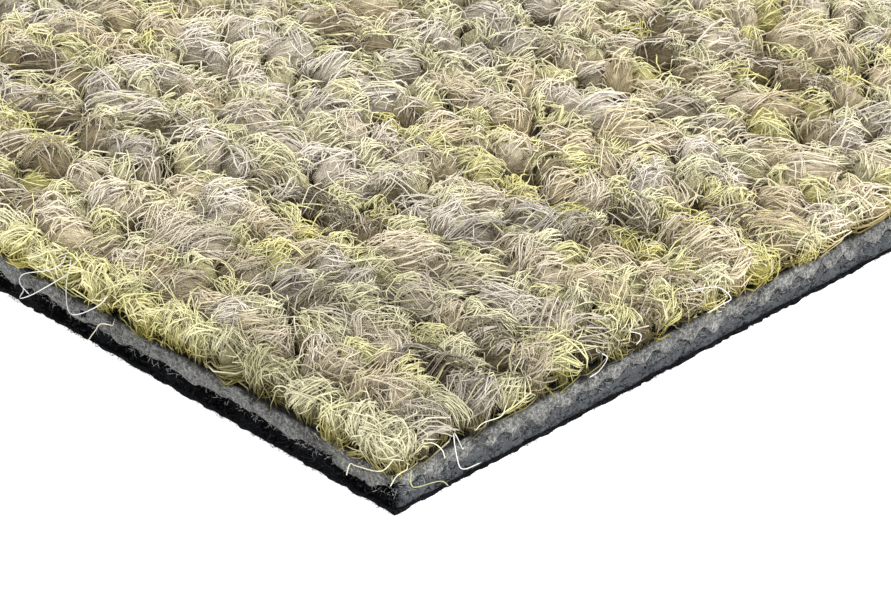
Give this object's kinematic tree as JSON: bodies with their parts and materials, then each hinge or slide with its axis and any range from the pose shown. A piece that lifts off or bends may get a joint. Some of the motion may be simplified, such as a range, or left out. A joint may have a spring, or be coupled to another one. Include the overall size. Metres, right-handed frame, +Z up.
{
  "type": "carpet tile",
  "caption": "Square tufted loop-pile carpet tile with taupe and lime needle rows on a felt primary backing, a bitumen backing and a black fleece underside.",
  "frame": {"origin": "middle of the tile's underside, on the floor", "axes": "+Z up out of the pile, +X along the needle rows, +Y across them"},
  "size_m": [0.5, 0.5, 0.007],
  "materials": {
    "base_fleece": "thin black needled fleece, matt, with short fuzz at the cut edges",
    "bitumen_backing": "dark slate bitumen compound, dull, cracked and pitted where it is cut",
    "primary_backing": "light grey pressed felt with yarn back stitches, fuzzy where it is cut",
    "loop_pile": "crimped taupe and lime yarn in textured loops, matt with a soft fibre sheen"
  },
  "bodies": {
    "root": {"base_fleece": "base_fleece", "bitumen_backing": "bitumen_backing", "primary_backing": "primary_backing", "loop_pile": "loop_pile"}
  },
  "joints": []
}
